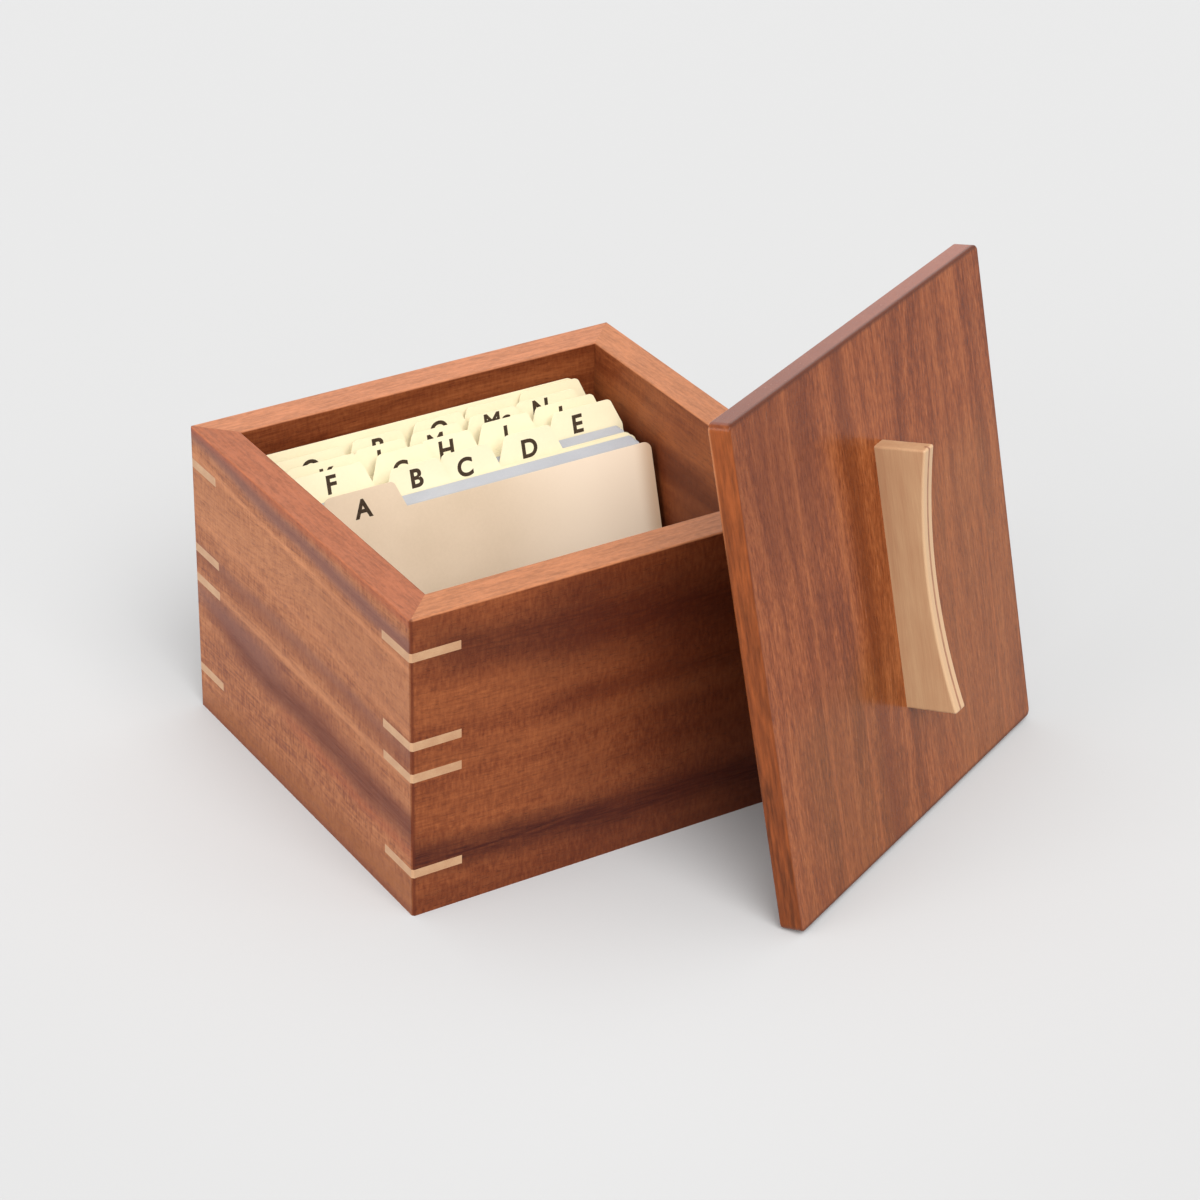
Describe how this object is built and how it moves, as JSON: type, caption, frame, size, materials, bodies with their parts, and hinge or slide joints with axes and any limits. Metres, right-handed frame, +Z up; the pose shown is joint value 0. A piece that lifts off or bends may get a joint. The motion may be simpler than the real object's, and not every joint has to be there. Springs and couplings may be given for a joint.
{
  "type": "index card box",
  "caption": "Wooden card box with mitred walls, pale corner keys, a loose lid with a curved bar handle, lettered card guides and blank cards.",
  "frame": {"origin": "middle of the front wall's bottom edge, on the plane that the box stands on", "axes": "+X to the right along the front wall, +Y from the front wall to the back wall, +Z up"},
  "size_m": [0.2469, 0.2248, 0.1734],
  "materials": {
    "wall_wood": "satin oiled dark red-brown hardwood",
    "bottom_wood": "satin dark red-brown veneered panel",
    "lid_wood": "satin oiled dark red-brown hardwood, ribbon figure",
    "insert_wood": "satin dark red-brown hardwood",
    "pale_wood": "satin pale close-grained hardwood",
    "line_wood": "satin dark wood line",
    "screw_brass": "satin",
    "guide_card": "matte buff card",
    "blank_card": "matte white card"
  },
  "bodies": {
    "box": {"front_wall": "wall_wood", "back_wall": "wall_wood", "left_wall": "wall_wood", "right_wall": "wall_wood", "bottom_panel": "bottom_wood", "front_left_keys": "pale_wood", "front_right_keys": "pale_wood", "back_left_keys": "pale_wood", "back_right_keys": "pale_wood"},
    "lid": {"lid_panel": "lid_wood", "lid_insert": "insert_wood", "handle": "pale_wood", "handle_line": "line_wood", "handle_screws": "screw_brass"},
    "guide_a": {"guide_a": "guide_card"},
    "guide_b": {"guide_b": "guide_card"},
    "guide_c": {"guide_c": "guide_card"},
    "guide_d": {"guide_d": "guide_card"},
    "guide_e": {"guide_e": "guide_card"},
    "guide_f": {"guide_f": "guide_card"},
    "guide_g": {"guide_g": "guide_card"},
    "guide_h": {"guide_h": "guide_card"},
    "guide_i": {"guide_i": "guide_card"},
    "guide_j": {"guide_j": "guide_card"},
    "guide_k": {"guide_k": "guide_card"},
    "guide_l": {"guide_l": "guide_card"},
    "guide_m": {"guide_m": "guide_card"},
    "guide_mc": {"guide_mc": "guide_card"},
    "guide_n": {"guide_n": "guide_card"},
    "guide_o": {"guide_o": "guide_card"},
    "guide_p": {"guide_p": "guide_card"},
    "guide_q": {"guide_q": "guide_card"},
    "guide_r": {"guide_r": "guide_card"},
    "guide_s": {"guide_s": "guide_card"},
    "front_cards": {"front_cards": "blank_card"},
    "rear_cards": {"rear_cards": "blank_card"},
    "rear_divider": {"rear_divider": "guide_card"}
  },
  "joints": [
    {"name": "lid_lift", "type": "slide", "parent": "box", "child": "lid", "axis": [0, 0, 1], "range_m": [0, 0.13]},
    {"name": "guide_a_lift", "type": "slide", "parent": "box", "child": "guide_a", "axis": [0, 0.284, 0.9588], "range_m": [0, 0.1]},
    {"name": "guide_b_lift", "type": "slide", "parent": "box", "child": "guide_b", "axis": [0, 0.284, 0.9588], "range_m": [0, 0.1]},
    {"name": "guide_c_lift", "type": "slide", "parent": "box", "child": "guide_c", "axis": [0, 0.284, 0.9588], "range_m": [0, 0.1]},
    {"name": "guide_d_lift", "type": "slide", "parent": "box", "child": "guide_d", "axis": [0, 0.284, 0.9588], "range_m": [0, 0.1]},
    {"name": "guide_e_lift", "type": "slide", "parent": "box", "child": "guide_e", "axis": [0, 0.284, 0.9588], "range_m": [0, 0.1]},
    {"name": "guide_f_lift", "type": "slide", "parent": "box", "child": "guide_f", "axis": [0, 0.2792, 0.9602], "range_m": [0, 0.1]},
    {"name": "guide_g_lift", "type": "slide", "parent": "box", "child": "guide_g", "axis": [0, 0.2744, 0.9616], "range_m": [0, 0.1]},
    {"name": "guide_h_lift", "type": "slide", "parent": "box", "child": "guide_h", "axis": [0, 0.2696, 0.963], "range_m": [0, 0.1]},
    {"name": "guide_i_lift", "type": "slide", "parent": "box", "child": "guide_i", "axis": [0, 0.2648, 0.9643], "range_m": [0, 0.1]},
    {"name": "guide_j_lift", "type": "slide", "parent": "box", "child": "guide_j", "axis": [0, 0.2599, 0.9656], "range_m": [0, 0.1]},
    {"name": "guide_k_lift", "type": "slide", "parent": "box", "child": "guide_k", "axis": [0, 0.2551, 0.9669], "range_m": [0, 0.1]},
    {"name": "guide_l_lift", "type": "slide", "parent": "box", "child": "guide_l", "axis": [0, 0.2503, 0.9682], "range_m": [0, 0.1]},
    {"name": "guide_m_lift", "type": "slide", "parent": "box", "child": "guide_m", "axis": [0, 0.2454, 0.9694], "range_m": [0, 0.1]},
    {"name": "guide_mc_lift", "type": "slide", "parent": "box", "child": "guide_mc", "axis": [0, 0.2406, 0.9706], "range_m": [0, 0.1]},
    {"name": "guide_n_lift", "type": "slide", "parent": "box", "child": "guide_n", "axis": [0, 0.2357, 0.9718], "range_m": [0, 0.1]},
    {"name": "guide_o_lift", "type": "slide", "parent": "box", "child": "guide_o", "axis": [0, 0.2308, 0.973], "range_m": [0, 0.1]},
    {"name": "guide_p_lift", "type": "slide", "parent": "box", "child": "guide_p", "axis": [0, 0.226, 0.9741], "range_m": [0, 0.1]},
    {"name": "guide_q_lift", "type": "slide", "parent": "box", "child": "guide_q", "axis": [0, 0.2211, 0.9753], "range_m": [0, 0.1]},
    {"name": "guide_r_lift", "type": "slide", "parent": "box", "child": "guide_r", "axis": [0, 0.2162, 0.9763], "range_m": [0, 0.1]},
    {"name": "guide_s_lift", "type": "slide", "parent": "box", "child": "guide_s", "axis": [0, 0.2113, 0.9774], "range_m": [0, 0.1]},
    {"name": "front_cards_lift", "type": "slide", "parent": "box", "child": "front_cards", "axis": [0, 0.284, 0.9588], "range_m": [0, 0.1]},
    {"name": "rear_cards_lift", "type": "slide", "parent": "box", "child": "rear_cards", "axis": [0, 0.284, 0.9588], "range_m": [0, 0.1]},
    {"name": "rear_divider_lift", "type": "slide", "parent": "box", "child": "rear_divider", "axis": [0, 0.2113, 0.9774], "range_m": [0, 0.1]}
  ]
}
